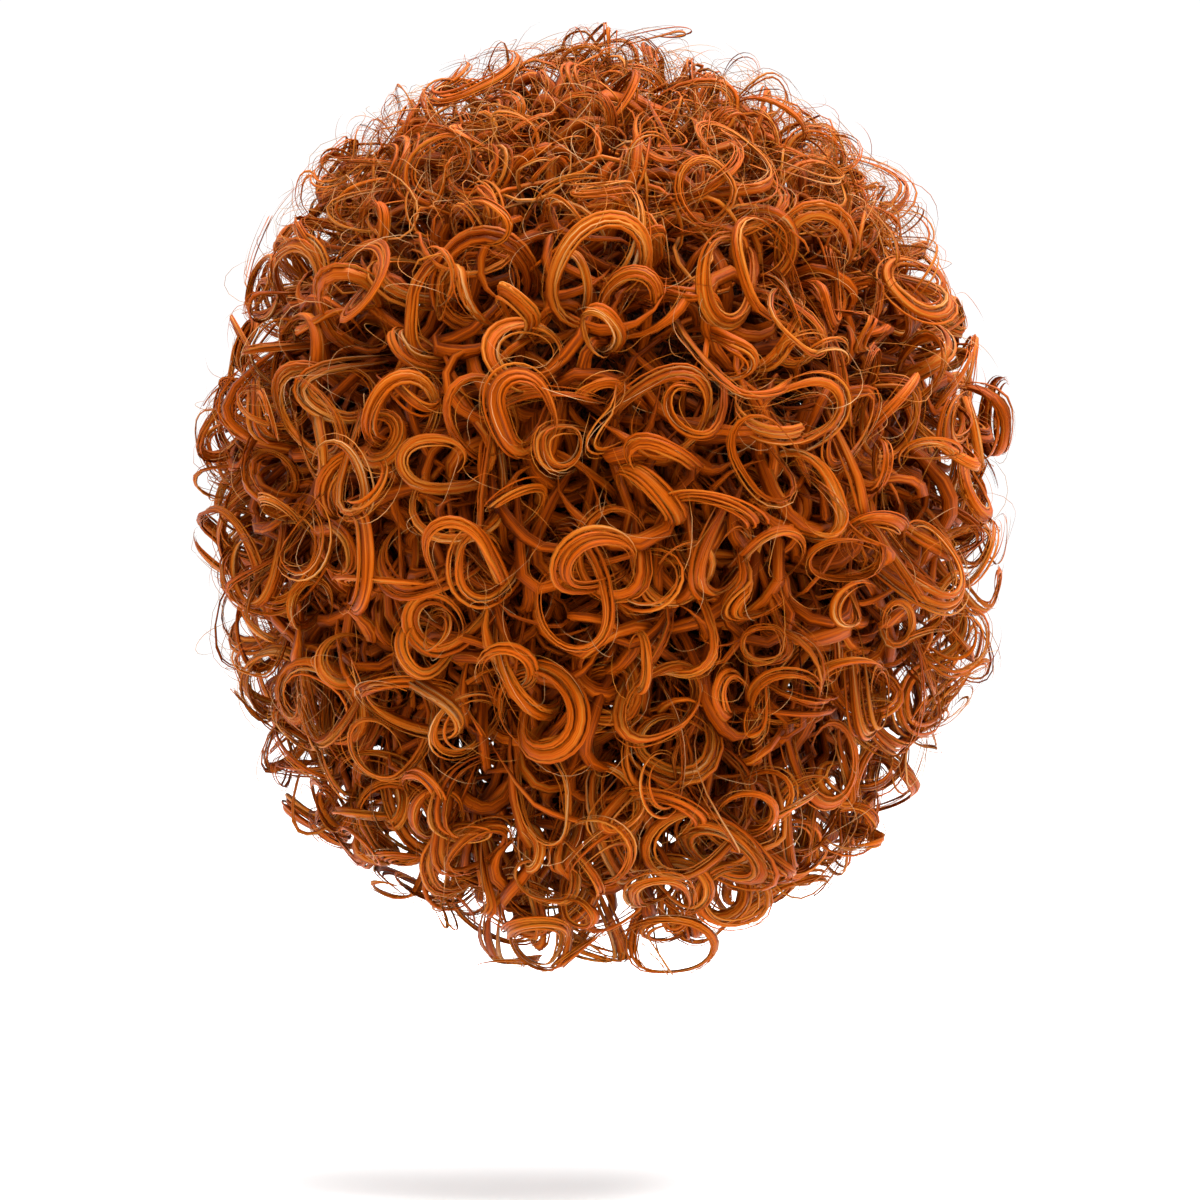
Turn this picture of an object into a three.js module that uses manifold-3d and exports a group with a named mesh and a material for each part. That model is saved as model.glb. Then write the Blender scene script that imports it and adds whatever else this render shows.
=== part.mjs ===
// A short curly wig: a cap that fits the head, with rows of curled hair sewn round it from crown to nape.
// Millimetres, +Z up. The origin is the top of the hollow, where the head carries the cap.
// The face opening looks along -Y. Azimuth 0 is the face and 90 is +X; polar angles count from straight up.
import * as THREE from "three";
import { mergeVertices } from "three/addons/utils/BufferGeometryUtils.js";
import Module from "manifold-3d";

const wasm = await Module();
wasm.setup();

// The head that the cap fits, and the room that a neck needs below it.
const HEAD_BREADTH = 152;
const HEAD_LENGTH = 190;
const CROWN_TO_WIDEST = 105;
const NECK_CLEAR_RADIUS = 66;

// The cap's cloth, and the seat that each row of hair has on it.
const CAP_WALL = 1.6;
const SEAT_GAP = 3.2; // at the corners of the hair's flat facets, whose middles come within 0.3 of the cap
const ROW_GAP_DEG = 0.3; // between one row of hair and the next
const CAP_STEP_DEG = 15;
const CAP_RINGS = 7;
const ROW_STEP_DEG = 15;
const MASS_THINNEST = 6; // of a row's mass, where the curls leave little room

// One curl: a lock of hair that comes out of the mass at its root and winds nearly once round to its end.
const LOCK_WIDTH = 17;
const LOCK_DEPTH = 13;
const END_TAPER = 0.4; // its size at the end, as a share
const TAPER_FROM = 0.6; // where it starts to narrow, as a share of its length
const CURL_TURN_DEG = 335;
const CURL_STEPS = 8;
const CURL_RISE = 7;
const ROOT_DEPTH = 9; // how far the root starts below the rest of the curl
const CURL_STAND = 23; // how far the curls stand out of the mass below them
const CURL_SMALLEST = 0.84; // outer radius, as a share of the room in its row
const CURL_LARGEST = 0.98;
const LEAN_LARGEST_DEG = 24; // sideways, along its row

// The hair thins towards the edge of the face opening.
const FACE_THINNING = 28;
const FACE_THINNING_DEG = 40;

// Rows of hair are laid out about the hair's centre, and the cap about the head's.
const HAIR_CENTRE = new THREE.Vector3(0, 14, -112);
const HEAD_CENTRE = new THREE.Vector3(0, 0, -CROWN_TO_WIDEST);
const CAP_COLOUR = "#4a220c";
const HAIR_COLOUR = "#b4540f";

// The cap's edge, from the middle of the forehead round one side to the nape.
// Polar angles here are about the head's centre.
const CAP_EDGE = [
  { place: "forehead", azimuth: 0, polar: 62 },
  { place: "temple", azimuth: 50, polar: 84 },
  { place: "ear tab", azimuth: 75, polar: 112 },
  { place: "over the ear", azimuth: 95, polar: 98 },
  { place: "behind the ear", azimuth: 122, polar: 118 },
  { place: "nape", azimuth: 180, polar: 133 },
];

// How far the curls reach from the hair's centre, at the face, the sides and the back of the head.
const HAIR_REACH = [
  { polar: 0, face: 167, side: 167, back: 167 },
  { polar: 30, face: 160, side: 160, back: 163 },
  { polar: 60, face: 152, side: 157, back: 160 },
  { polar: 90, face: 146, side: 156, back: 160 },
  { polar: 120, face: 148, side: 168, back: 169 },
  { polar: 150, face: 160, side: 180, back: 199 },
  { polar: 180, face: 165, side: 185, back: 205 },
];

// The rows, each between two polar angles about the hair's centre. faceGap is open on each side of the face.
const ROWS = [
  { name: "crown_curls", from: 0, to: 12, faceGap: 0, curls: 1 },
  { name: "crown_weft", from: 12, to: 32, faceGap: 0, curls: 7 },
  { name: "upper_weft", from: 32, to: 52, faceGap: 0, curls: 13 },
  { name: "fringe_weft", from: 52, to: 72, faceGap: 0, curls: 17 },
  { name: "temple_weft", from: 72, to: 92, faceGap: 45, curls: 14 },
  { name: "ear_weft", from: 92, to: 112, faceGap: 60, curls: 13 },
  { name: "jaw_weft", from: 112, to: 132, faceGap: 60, curls: 12 },
  { name: "neck_weft", from: 132, to: 150, faceGap: 75, curls: 9 },
  { name: "nape_weft", from: 150, to: 164, faceGap: 105, curls: 4 },
];

const radians = THREE.MathUtils.degToRad;
const mix = THREE.MathUtils.lerp;

// The unit vector at an azimuth and a polar angle, both in degrees.
function towards(azimuth, polar) {
  const flat = Math.sin(radians(polar));
  return new THREE.Vector3(
    flat * Math.sin(radians(azimuth)),
    -flat * Math.cos(radians(azimuth)),
    Math.cos(radians(polar)),
  );
}

// A column of a table at a value of its key, eased from one row to the next.
function readTable(table, key, value, column) {
  const above = Math.max(1, table.findIndex((row) => row[key] >= value));
  const [low, high] = [table[above - 1], table[above]];
  return mix(low[column], high[column], THREE.MathUtils.smoothstep(value, low[key], high[key]));
}

// How far an azimuth is from the face, whichever side it is on.
function fromFace(azimuth) {
  return Math.abs(THREE.MathUtils.euclideanModulo(azimuth + 180, 360) - 180);
}

// An even scatter from 0 to 1, the same each time: the fraction left by counting in steps of an odd size.
function scatter(count, step) {
  return (count * step) % 1;
}

// A closed solid through sections of equally many points, with end caps unless the sections form a ring.
function loft(sections, isRing) {
  const points = sections.flat();
  const size = sections[0].length;
  const triangles = [];
  const bands = isRing ? sections.length : sections.length - 1;
  for (let s = 0; s < bands; s++) {
    for (let p = 0; p < size; p++) {
      const [a, b] = [s * size + p, s * size + ((p + 1) % size)];
      const next = ((s + 1) % sections.length) * size;
      const [c, d] = [next + p, next + ((p + 1) % size)];
      triangles.push([a, b, c], [b, d, c]);
    }
  }
  const last = (sections.length - 1) * size;
  for (let p = 1; p < size - 1 && !isRing; p++) {
    triangles.push([0, p + 1, p], [last, last + p, last + p + 1]);
  }
  return solidOf(points, triangles);
}

// The solid of a closed skin. Points that fall together, as at the cap's crown, become one.
function solidOf(points, triangles) {
  const skin = new THREE.BufferGeometry().setFromPoints(points);
  skin.setIndex(triangles.flat());
  const joined = mergeVertices(skin, 1e-3);
  const corners = joined.index.array;
  const kept = [];
  for (let i = 0; i < corners.length; i += 3) {
    const [a, b, c] = corners.slice(i, i + 3);
    if (a !== b && b !== c && c !== a) kept.push(a, b, c);
  }
  return new wasm.Manifold(
    new wasm.Mesh({
      numProp: 3,
      vertProperties: joined.attributes.position.array,
      triVerts: new Uint32Array(kept),
    }),
  );
}

// A point of the head's surface, grown outwards by some millimetres.
function onHead(azimuth, polar, grown) {
  const radii = new THREE.Vector3(HEAD_BREADTH / 2, HEAD_LENGTH / 2, CROWN_TO_WIDEST).addScalar(grown);
  return towards(azimuth, polar).multiply(radii).add(HEAD_CENTRE);
}

// The cap: a cloth wall over the head, open below and cut to the hairline, with a tab before each ear.
function makeCap() {
  const sections = [];
  for (let azimuth = 0; azimuth < 360; azimuth += CAP_STEP_DEG) {
    const edge = readTable(CAP_EDGE, "azimuth", fromFace(azimuth), "polar");
    const outside = [];
    const inside = [];
    for (let ring = 0; ring <= CAP_RINGS; ring++) {
      const polar = (edge * ring) / CAP_RINGS;
      outside.push(onHead(azimuth, polar, CAP_WALL));
      inside.unshift(onHead(azimuth, polar, 0));
    }
    sections.push([...outside, ...inside]);
  }
  return loft(sections, true);
}

// How far the head and neck, with the cap on, reach from the hair's centre in one direction.
function wearerReach(azimuth, polar) {
  const ray = towards(azimuth, polar);
  const grown = CAP_WALL + SEAT_GAP;
  const radii = new THREE.Vector3(HEAD_BREADTH / 2, HEAD_LENGTH / 2, CROWN_TO_WIDEST).addScalar(grown);
  const start = HAIR_CENTRE.clone().sub(HEAD_CENTRE).divide(radii);
  const step = ray.clone().divide(radii);
  const half = start.dot(step) / step.lengthSq();
  const head = -half + Math.sqrt(half * half + (1 - start.lengthSq()) / step.lengthSq());
  const neck = polar > 90 ? NECK_CLEAR_RADIUS / Math.sin(radians(polar)) : 0;
  return Math.max(head, neck);
}

// How far the curls reach from the hair's centre, thinner beside a face opening.
function hairReach(azimuth, polar, faceGap) {
  const turn = fromFace(azimuth);
  const facing = Math.cos(radians(turn)) ** 2;
  const end = turn < 90 ? "face" : "back";
  const [sideways, endways] = ["side", end].map((column) => readTable(HAIR_REACH, "polar", polar, column));
  const full = mix(sideways, endways, facing);
  if (faceGap === 0) return full;
  const [thin, thick] = [faceGap - FACE_THINNING_DEG / 2, faceGap + FACE_THINNING_DEG];
  return full - FACE_THINNING * (1 - THREE.MathUtils.smoothstep(turn, thin, thick));
}

// The mass of hair in one row, from its seat on the cap out to the foot of the curls.
function makeMass(row) {
  const polars = [row.from === 0 ? 0 : row.from + ROW_GAP_DEG / 2, row.to - ROW_GAP_DEG / 2];
  const sections = [];
  const end = 360 - row.faceGap;
  for (let azimuth = row.faceGap; row.faceGap ? azimuth <= end : azimuth < end; azimuth += ROW_STEP_DEG) {
    const at = (polar, reach) => towards(azimuth, polar).multiplyScalar(reach).add(HAIR_CENTRE);
    const outer = polars.map((polar) => hairReach(azimuth, polar, row.faceGap) - CURL_STAND);
    const seat = polars.map((polar, i) => Math.min(wearerReach(azimuth, polar), outer[i] - MASS_THINNEST));
    sections.push([
      at(polars[0], outer[0]),
      at(polars[1], outer[1]),
      at(polars[1], seat[1]),
      at(polars[0], seat[0]),
    ]);
  }
  return loft(sections, row.faceGap === 0);
}

// One curl of a row, as a lock wound round an axis that points out of the hair and leans along the row.
function makeCurl(row, index) {
  const count = row.from + index + 1; // a number of its own for each curl, to scatter by
  const polar = row.from === 0 ? 0 : (row.from + row.to) / 2;
  const azimuth = row.faceGap + ((index + 0.5) * (360 - 2 * row.faceGap)) / row.curls;
  const reach = hairReach(azimuth, polar, row.faceGap);
  const lean = radians(LEAN_LARGEST_DEG) * (2 * scatter(count, Math.SQRT2) - 1);
  const halfHeight = (CURL_RISE + LOCK_WIDTH) / 2;
  const halfRow = Math.sin(radians(row.to - polar - ROW_GAP_DEG / 2));
  const room = halfRow * mix(CURL_SMALLEST, CURL_LARGEST, scatter(count, Math.sqrt(5)));
  const outerRadius = (room * (reach - halfHeight)) / (1 + room * Math.sin(Math.abs(lean)));
  const distance = reach - outerRadius * Math.sin(Math.abs(lean)) - halfHeight * Math.cos(lean);

  const out = towards(azimuth, polar);
  const along = new THREE.Vector3(Math.cos(radians(azimuth)), Math.sin(radians(azimuth)), 0);
  const up = new THREE.Vector3().crossVectors(out, along);
  const axis = out.clone().multiplyScalar(Math.cos(lean)).addScaledVector(along, Math.sin(lean));
  const across = along.clone().multiplyScalar(Math.cos(lean)).addScaledVector(out, -Math.sin(lean));
  const centre = HAIR_CENTRE.clone().addScaledVector(out, distance);
  const turnStart = 2 * Math.PI * scatter(count, Math.sqrt(3));

  const sections = [];
  for (let step = 0; step <= CURL_STEPS; step++) {
    const wound = step / CURL_STEPS;
    const turn = turnStart + radians(CURL_TURN_DEG) * wound;
    const spoke = across.clone().multiplyScalar(Math.cos(turn)).addScaledVector(up, Math.sin(turn));
    const height = CURL_RISE * (wound - 0.5) - (step === 0 ? ROOT_DEPTH : 0);
    const fullness = mix(1, END_TAPER, THREE.MathUtils.smoothstep(wound, TAPER_FROM, 1));
    const [wide, deep] = [(LOCK_WIDTH / 2) * fullness, (LOCK_DEPTH / 2) * fullness];
    const middle = outerRadius - LOCK_DEPTH / 2;
    // A curl widens outwards, as the room in its row does.
    const at = (radius, rise) =>
      centre.clone().addScaledVector(spoke, radius * (1 + rise / distance)).addScaledVector(axis, rise);
    sections.push([
      at(middle, height + wide),
      at(middle + deep, height),
      at(middle, height - wide),
      at(middle - deep, height),
    ]);
  }
  return loft(sections, false);
}

// A row of hair: its mass, with its curls fused to it. Only the outer skin is kept, which fills closed pockets.
function makeRow(row) {
  let hair = makeMass(row);
  for (let index = 0; index < row.curls; index++) hair = hair.add(makeCurl(row, index));
  return hair.decompose().reduce((skin, other) => (other.volume() > skin.volume() ? other : skin));
}

// A named mesh of a solid, for the scene graph.
function meshOf(name, solid, colour, roughness) {
  const { numProp, vertProperties, triVerts } = solid.getMesh();
  const geometry = new THREE.BufferGeometry();
  geometry.setAttribute("position", new THREE.BufferAttribute(vertProperties, numProp));
  geometry.setIndex(new THREE.BufferAttribute(triVerts, 1));
  geometry.computeVertexNormals();
  const material = new THREE.MeshStandardMaterial({ color: colour, roughness, metalness: 0 });
  const mesh = new THREE.Mesh(geometry, material);
  mesh.name = name;
  return mesh;
}

const wig = new THREE.Group();
wig.add(meshOf("cap", makeCap(), CAP_COLOUR, 0.9));
for (const row of ROWS) wig.add(meshOf(row.name, makeRow(row), HAIR_COLOUR, 0.45));

export default wig;
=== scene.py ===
# %% [markdown]
# # A short curly wig
# The wig is a knitted cap that carries about six hundred ringlets of copper-coloured fibre. Its solids come
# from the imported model, which is loaded first and stays fixed. The scene is in metres in that same frame: the
# inside top of the cap is the origin, +Z is up and the face opening looks along -Y. The hair is worked out in
# millimetres and turned to metres when it becomes a mesh.

import math

import bpy
import numpy as np
from mathutils.kdtree import KDTree
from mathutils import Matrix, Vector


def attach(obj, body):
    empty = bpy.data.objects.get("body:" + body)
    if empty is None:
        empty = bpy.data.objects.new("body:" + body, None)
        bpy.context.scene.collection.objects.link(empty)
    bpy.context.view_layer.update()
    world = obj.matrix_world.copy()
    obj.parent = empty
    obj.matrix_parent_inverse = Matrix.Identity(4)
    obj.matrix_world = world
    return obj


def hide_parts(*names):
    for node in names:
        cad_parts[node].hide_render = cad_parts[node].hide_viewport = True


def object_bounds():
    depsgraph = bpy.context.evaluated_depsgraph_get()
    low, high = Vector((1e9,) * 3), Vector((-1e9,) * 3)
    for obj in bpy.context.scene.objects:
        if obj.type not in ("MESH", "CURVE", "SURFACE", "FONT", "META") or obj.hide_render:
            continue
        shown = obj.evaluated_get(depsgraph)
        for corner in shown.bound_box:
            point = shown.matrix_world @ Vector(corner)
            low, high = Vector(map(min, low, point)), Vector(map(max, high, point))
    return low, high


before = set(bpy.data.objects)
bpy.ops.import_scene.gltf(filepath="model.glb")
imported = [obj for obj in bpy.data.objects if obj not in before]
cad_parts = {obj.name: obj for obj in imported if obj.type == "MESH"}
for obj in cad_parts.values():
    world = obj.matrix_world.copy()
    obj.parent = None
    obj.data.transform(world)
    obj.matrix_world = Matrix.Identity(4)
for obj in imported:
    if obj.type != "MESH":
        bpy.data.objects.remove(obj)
cad_low, cad_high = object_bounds()
MM = 0.001
print("CAD box in mm:", [round(side / MM) for side in cad_high - cad_low])

# %% [markdown]
# ## The form that the hair keeps
# A wig is sewn in rows from the nape up, and each row is one node of the CAD model. The hair has to keep
# the outline of those solids, so the same few sizes are stated here, in millimetres: how far the hair
# reaches from its centre at each angle down from the top, and where each row begins and ends.

# %% State the rows and the reach of the hair
HAIR_CENTRE = np.array([0.0, 14.0, -112.0])
HOLLOW_CENTRE = np.array([0.0, 0.0, -105.0])
HOLLOW_RADII = np.array([76.0, 95.0, 105.0])
CAP_WALL = 1.6
NAPE_CLEAR_RADIUS = 66.0

# Beside the face the hair is thinner by so many millimetres. It gets thicker from so many degrees before the
# edge of a row's gap, over so many degrees.
FACE_THINNING = 28.0
FACE_EASE_BEFORE = 20.0
FACE_EASE_SPAN = 36.0

# Angle from the top in degrees, then the reach towards the face, the sides and the back.
REACH = np.array(
    [
        (0, 167, 167, 167),
        (30, 160, 160, 163),
        (60, 152, 157, 160),
        (90, 146, 156, 160),
        (120, 148, 168, 169),
        (150, 160, 180, 199),
        (180, 165, 185, 205),
    ],
    dtype=float,
)
FACE, SIDE, BACK = 1, 2, 3

# Top and bottom of each row, and the half gap that it leaves at the face, in degrees, then its main curls.
ROWS = [
    {"node": "crown_curls", "top": 0, "bottom": 12, "gap": 0, "curls": 1},
    {"node": "crown_weft", "top": 12, "bottom": 32, "gap": 0, "curls": 7},
    {"node": "upper_weft", "top": 32, "bottom": 52, "gap": 0, "curls": 13},
    {"node": "fringe_weft", "top": 52, "bottom": 72, "gap": 0, "curls": 17},
    {"node": "temple_weft", "top": 72, "bottom": 92, "gap": 45, "curls": 14},
    {"node": "ear_weft", "top": 92, "bottom": 112, "gap": 60, "curls": 13},
    {"node": "jaw_weft", "top": 112, "bottom": 132, "gap": 60, "curls": 12},
    {"node": "neck_weft", "top": 132, "bottom": 150, "gap": 75, "curls": 9},
    {"node": "nape_weft", "top": 150, "bottom": 164, "gap": 105, "curls": 4},
]
ROW_GAPS = np.array([row["gap"] for row in ROWS], dtype=float)


def ease(share):
    """A smooth step from 0 to 1."""
    share = np.clip(share, 0.0, 1.0)
    return share * share * (3.0 - 2.0 * share)


def towards(azimuth, polar):
    """Unit directions at an azimuth from the face and an angle from the top, in degrees."""
    turn, drop = np.radians(azimuth), np.radians(polar)
    return np.stack([np.sin(drop) * np.sin(turn), -np.sin(drop) * np.cos(turn), np.cos(drop)], axis=-1)


def from_face(azimuth):
    """How far an azimuth is turned from the face, either way round."""
    return np.abs((azimuth + 180.0) % 360.0 - 180.0)


def read_reach(polar, column):
    """One column of REACH, eased between its rows."""
    angles = REACH[:, 0]
    row = np.clip(np.searchsorted(angles, polar, side="right") - 1, 0, len(angles) - 2)
    share = ease((polar - angles[row]) / (angles[row + 1] - angles[row]))
    return REACH[row, column] * (1.0 - share) + REACH[row + 1, column] * share


def hair_reach(azimuth, polar, gap):
    """The distance from the hair's centre to its outline, thinner beside the face."""
    turn = from_face(azimuth)
    end_on = np.cos(np.radians(turn)) ** 2
    end = np.where(turn < 90.0, read_reach(polar, FACE), read_reach(polar, BACK))
    full = end_on * end + (1.0 - end_on) * read_reach(polar, SIDE)
    thinning = FACE_THINNING * (1.0 - ease((turn - gap + FACE_EASE_BEFORE) / FACE_EASE_SPAN))
    return full - np.where(gap > 0.0, thinning, 0.0)


print("Rows of hair:", len(ROWS), "with", sum(row["curls"] for row in ROWS), "main curls")

# %% [markdown]
# ## Strands as meshes
# Hair could be a particle system or hair curves, but neither is a mesh that can be handed on. Here every
# strand is a closed tube along a path, and a short table gives its cross-section: a broad lock is a flat
# diamond, a narrow one a low ridge and a single fibre a triangle. Hundreds of strands are worked out at once
# as arrays, and each row of hair becomes one joined mesh.

# %% State the cross-sections
# Place across and height of each corner as shares of the strand's half width, in order over the top and back.
BROAD = np.array([(-1, 0), (0, 0.35), (1, 0), (0, -0.25)])
NARROW = np.array([(-1, -0.1), (0, 0.4), (1, -0.1)])
FIBRE = np.array([(-0.87, -0.5), (0, 1), (0.87, -0.5)])
print("Corners of the sections:", [len(section) for section in (BROAD, NARROW, FIBRE)])

# %% [markdown]
# A tube is a line of rings, each with the corners of its section. Four-sided faces join every ring to the
# next, and one face closes each end, so no strand is open. Modelling them one by one with operators would
# take hours for thousands of strands, so their corners are numbered by rule.

# %% Number the faces of tubes
SEED = 12
rng = np.random.default_rng(SEED)
# Every tube starts somewhere else in the streaks of its material, within so many millimetres.
STREAK_SCATTER = 400.0


def unit(vectors):
    """The vectors at length one."""
    return vectors / np.maximum(np.linalg.norm(vectors, axis=-1, keepdims=True), 1e-9)


def tube_faces(tubes, points, corners):
    """Corner numbers of the side faces and of the end faces, for tubes of so many points and corners."""
    first = np.arange(tubes)[:, None, None] * points * corners
    near = first + np.arange(points - 1)[None, :, None] * corners
    far = near + corners
    corner = np.arange(corners)
    following = (corner + 1) % corners
    sides = np.stack([near + corner, near + following, far + following, far + corner], axis=-1)
    starts = first[:, 0] + corner[::-1]
    ends = first[:, 0] + (points - 1) * corners + corner
    return sides.reshape(-1, 4), np.concatenate([starts, ends])


def tube_uvs(rings):
    """Millimetres around and along each tube for every corner of its side faces, in their order."""
    tubes, points, corners = rings.shape[:3]
    steps = np.linalg.norm(np.diff(rings.mean(axis=2), axis=1), axis=-1)
    along = np.pad(np.cumsum(steps, axis=1), ((0, 0), (1, 0)))[:, :, None]
    edges = np.linalg.norm(np.roll(rings, -1, axis=2) - rings, axis=-1).mean(axis=1)
    around = np.pad(np.cumsum(edges, axis=1), ((0, 0), (1, 0)))[:, None, :]
    around = around + rng.uniform(0.0, STREAK_SCATTER, (tubes, 1, 1))
    shape = (tubes, points - 1, corners)
    near, far = (np.broadcast_to(part, shape) for part in (along[:, :-1], along[:, 1:]))
    left, right = (np.broadcast_to(part, shape) for part in (around[:, :, :-1], around[:, :, 1:]))
    u = np.stack([left, right, right, left], axis=-1)
    v = np.stack([near, near, far, far], axis=-1)
    return np.stack([u, v], axis=-1).reshape(-1, 2)


print("Faces of one fibre with 12 points:", sum(len(group) for group in tube_faces(1, 12, len(FIBRE))))

# %% [markdown]
# Each corner of a strand also stores two numbers that the material reads: a tone, which differs from strand
# to strand and across a lock, and how near it is to the tip. The tone also carries painted light: loose fibres
# get it paler, as lit fibres look, and the locks underneath darker, as painted shade. Its UV place is in
# millimetres along and around the strand, so that streaks run with the hair.

# %% Join strands into one mesh
def join_strands(name, batches):
    """One mesh object from batches of strands, each a dict of rings of corners, tones and tips."""
    corners, loops, sizes, uvs, tones, tips = [], [], [], [], [], []
    count = 0
    for batch in batches:
        rings = batch["rings"]
        tubes, points, around = rings.shape[:3]
        sides, ends = tube_faces(tubes, points, around)
        corners.append(rings.reshape(-1, 3))
        loops += [(sides + count).ravel(), (ends + count).ravel()]
        sizes += [np.full(len(sides), 4), np.full(len(ends), around)]
        uvs += [tube_uvs(rings), np.zeros((ends.size, 2))]
        tones.append(np.broadcast_to(batch["tones"][:, None, :], rings.shape[:3]).ravel())
        tips.append(np.broadcast_to(batch["tips"][:, :, None], rings.shape[:3]).ravel())
        count += tubes * points * around
    loops, sizes = np.concatenate(loops), np.concatenate(sizes)
    starts = np.cumsum(sizes) - sizes
    mesh = bpy.data.meshes.new(name)
    mesh.vertices.add(count)
    mesh.vertices.foreach_set("co", (np.concatenate(corners) * MM).astype(np.float32).ravel())
    mesh.loops.add(len(loops))
    mesh.loops.foreach_set("vertex_index", loops.astype(np.int32))
    mesh.polygons.add(len(starts))
    mesh.polygons.foreach_set("loop_start", starts.astype(np.int32))
    mesh.update(calc_edges=True)
    mesh.shade_smooth()
    layer = mesh.uv_layers.new(name="strand")
    layer.data.foreach_set("uv", np.concatenate(uvs).astype(np.float32).ravel())
    for label, values in (("tone", tones), ("tip", tips)):
        stored = mesh.attributes.new(label, "FLOAT", "POINT")
        stored.data.foreach_set("value", np.concatenate(values).astype(np.float32))
    piece = bpy.data.objects.new(name, mesh)
    bpy.context.collection.objects.link(piece)
    print(name, "triangles:", np.sum(sizes - 2))
    return piece


# %% [markdown]
# ## Materials
# Each material starts from what the real one is and how it was made. Colours are written as sRGB hex values,
# which one function turns to linear, and one function adds a node with its settings and links.

# %% Turn colours to linear and add nodes
def linear(hex_colour):
    """An sRGB hex colour as linear RGBA."""
    channels = [int(hex_colour[place : place + 2], 16) / 255 for place in (1, 3, 5)]
    return [c / 12.92 if c <= 0.04045 else ((c + 0.055) / 1.055) ** 2.4 for c in channels] + [1.0]


def set_node(material, node, settings=None, links=None):
    """Set the properties and sockets of a node, and link its inputs to other nodes' outputs."""
    for name, value in (settings or {}).items():
        if isinstance(name, str) and hasattr(node, name):
            setattr(node, name, value)
        else:
            node.inputs[name].default_value = value
    for name, output in (links or {}).items():
        material.node_tree.links.new(output, node.inputs[name])
    return node


def add_node(material, kind, settings=None, links=None):
    """A new node of a kind, with its settings and links."""
    return set_node(material, material.node_tree.nodes.new(kind), settings, links)


def new_material(name):
    """A node material and its shader."""
    material = bpy.data.materials.new(name)
    material.use_nodes = True
    return material, material.node_tree.nodes["Principled BSDF"]


def set_ramp(ramp, stops):
    """Colours of a ramp from pairs of place and hex colour."""
    elements = ramp.color_ramp.elements
    while len(elements) < len(stops):
        elements.new(0.5)
    for element, (place, colour) in zip(elements, stops):
        element.position = place
        element.color = linear(colour)


COPPER = "#a74500"
print("Copper dye in linear colour:", [round(part, 3) for part in linear(COPPER)])

# %% [markdown]
# ### Heat-set synthetic fibre
# The hair is plastic fibre, dyed in one lot and set on rods with heat: smooth, satin and strongly coloured.
# Single fibres are 0.06 mm thick, too fine to show, so streaks of tone and grooves are drawn coarser, as
# noise that is stretched along the UV map of each strand. The streaks are partly fibres that differ in tone and
# partly painted sheen on single fibres, with painted shade between them. An image could hold streaks too, but
# it would have to be painted for every strand.

# %% Mix the fibre
# In millimetres. The grooves spread the light across a lock as many round fibres side by side do.
STREAK_WIDE = 0.7
STREAK_LONG = 60.0
GROOVE_WIDE = 0.3
GROOVE_LONG = 40.0
GROOVE_DEEP = 0.35
STREAK_CONTRAST = 2.4

# Strands of one dye lot differ a little in tone, with fine streaks along them that also hold painted sheen and
# shade. Towards the root the colour is darker, painted shade where the strands start deep in the hair.
fibre, fibre_shader = new_material("curled_synthetic_fibre")
tone = add_node(fibre, "ShaderNodeAttribute", {"attribute_name": "tone"})
tip = add_node(fibre, "ShaderNodeAttribute", {"attribute_name": "tip"})
strand_place = add_node(fibre, "ShaderNodeUVMap", {"uv_map": "strand"})
streak_size = add_node(
    fibre,
    "ShaderNodeMapping",
    {"Scale": (1 / STREAK_WIDE, 1 / STREAK_LONG, 1.0)},
    {"Vector": strand_place.outputs["UV"]},
)
streak = add_node(
    fibre,
    "ShaderNodeTexNoise",
    {"Scale": 1.0, "Detail": 3.0, "Roughness": 0.7},
    {"Vector": streak_size.outputs["Vector"]},
)
groove_size = add_node(
    fibre,
    "ShaderNodeMapping",
    {"Scale": (1 / GROOVE_WIDE, 1 / GROOVE_LONG, 1.0)},
    {"Vector": strand_place.outputs["UV"]},
)
groove = add_node(
    fibre, "ShaderNodeTexNoise", {"Scale": 1.0, "Detail": 2.0}, {"Vector": groove_size.outputs["Vector"]}
)
# Painted sheen and shade: the streaks raise and lower the tone along the fibres.
# Noise lies about 0.5, so half of the contrast is taken off again and the mean tone stays.
streaked_tone = add_node(
    fibre,
    "ShaderNodeMath",
    {"operation": "MULTIPLY_ADD", 1: STREAK_CONTRAST},
    {0: streak.outputs["Fac"], 2: tone.outputs["Fac"]},
)
mean_tone = add_node(
    fibre, "ShaderNodeMath", {"operation": "SUBTRACT", 1: STREAK_CONTRAST / 2}, {0: streaked_tone.outputs[0]}
)
# The ramp runs from the darkest to the palest fibre. Its dark end is also reached by locks painted as shaded,
# and its pale end by streaks and loose fibres painted as lit.
dye = add_node(fibre, "ShaderNodeValToRGB", links={"Fac": mean_tone.outputs[0]})
set_ramp(dye, [(0.0, "#662400"), (0.42, COPPER), (0.78, "#ab651c"), (1.0, "#bb8c60")])
# Painted shade: towards the root, where strands start deep in the hair, the colour is darkened.
depth = add_node(fibre, "ShaderNodeValToRGB", links={"Fac": tip.outputs["Fac"]})
set_ramp(depth, [(0.0, "#a88a78"), (0.5, "#ffffff")])
colour = add_node(
    fibre,
    "ShaderNodeMix",
    {"data_type": "RGBA", "blend_type": "MULTIPLY", 0: 1.0},
    {6: dye.outputs["Color"], 7: depth.outputs["Color"]},
)
relief = add_node(
    fibre,
    "ShaderNodeBump",
    {"Strength": 1.0, "Distance": GROOVE_DEEP * MM},
    {"Height": groove.outputs["Fac"]},
)
set_node(
    fibre,
    fibre_shader,
    {"Roughness": 0.5, "IOR": 1.52, "Specular IOR Level": 0.16, "Specular Tint": linear("#ffac6c")},
    {"Base Color": colour.outputs[2], "Normal": relief.outputs["Normal"]},
)
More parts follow.
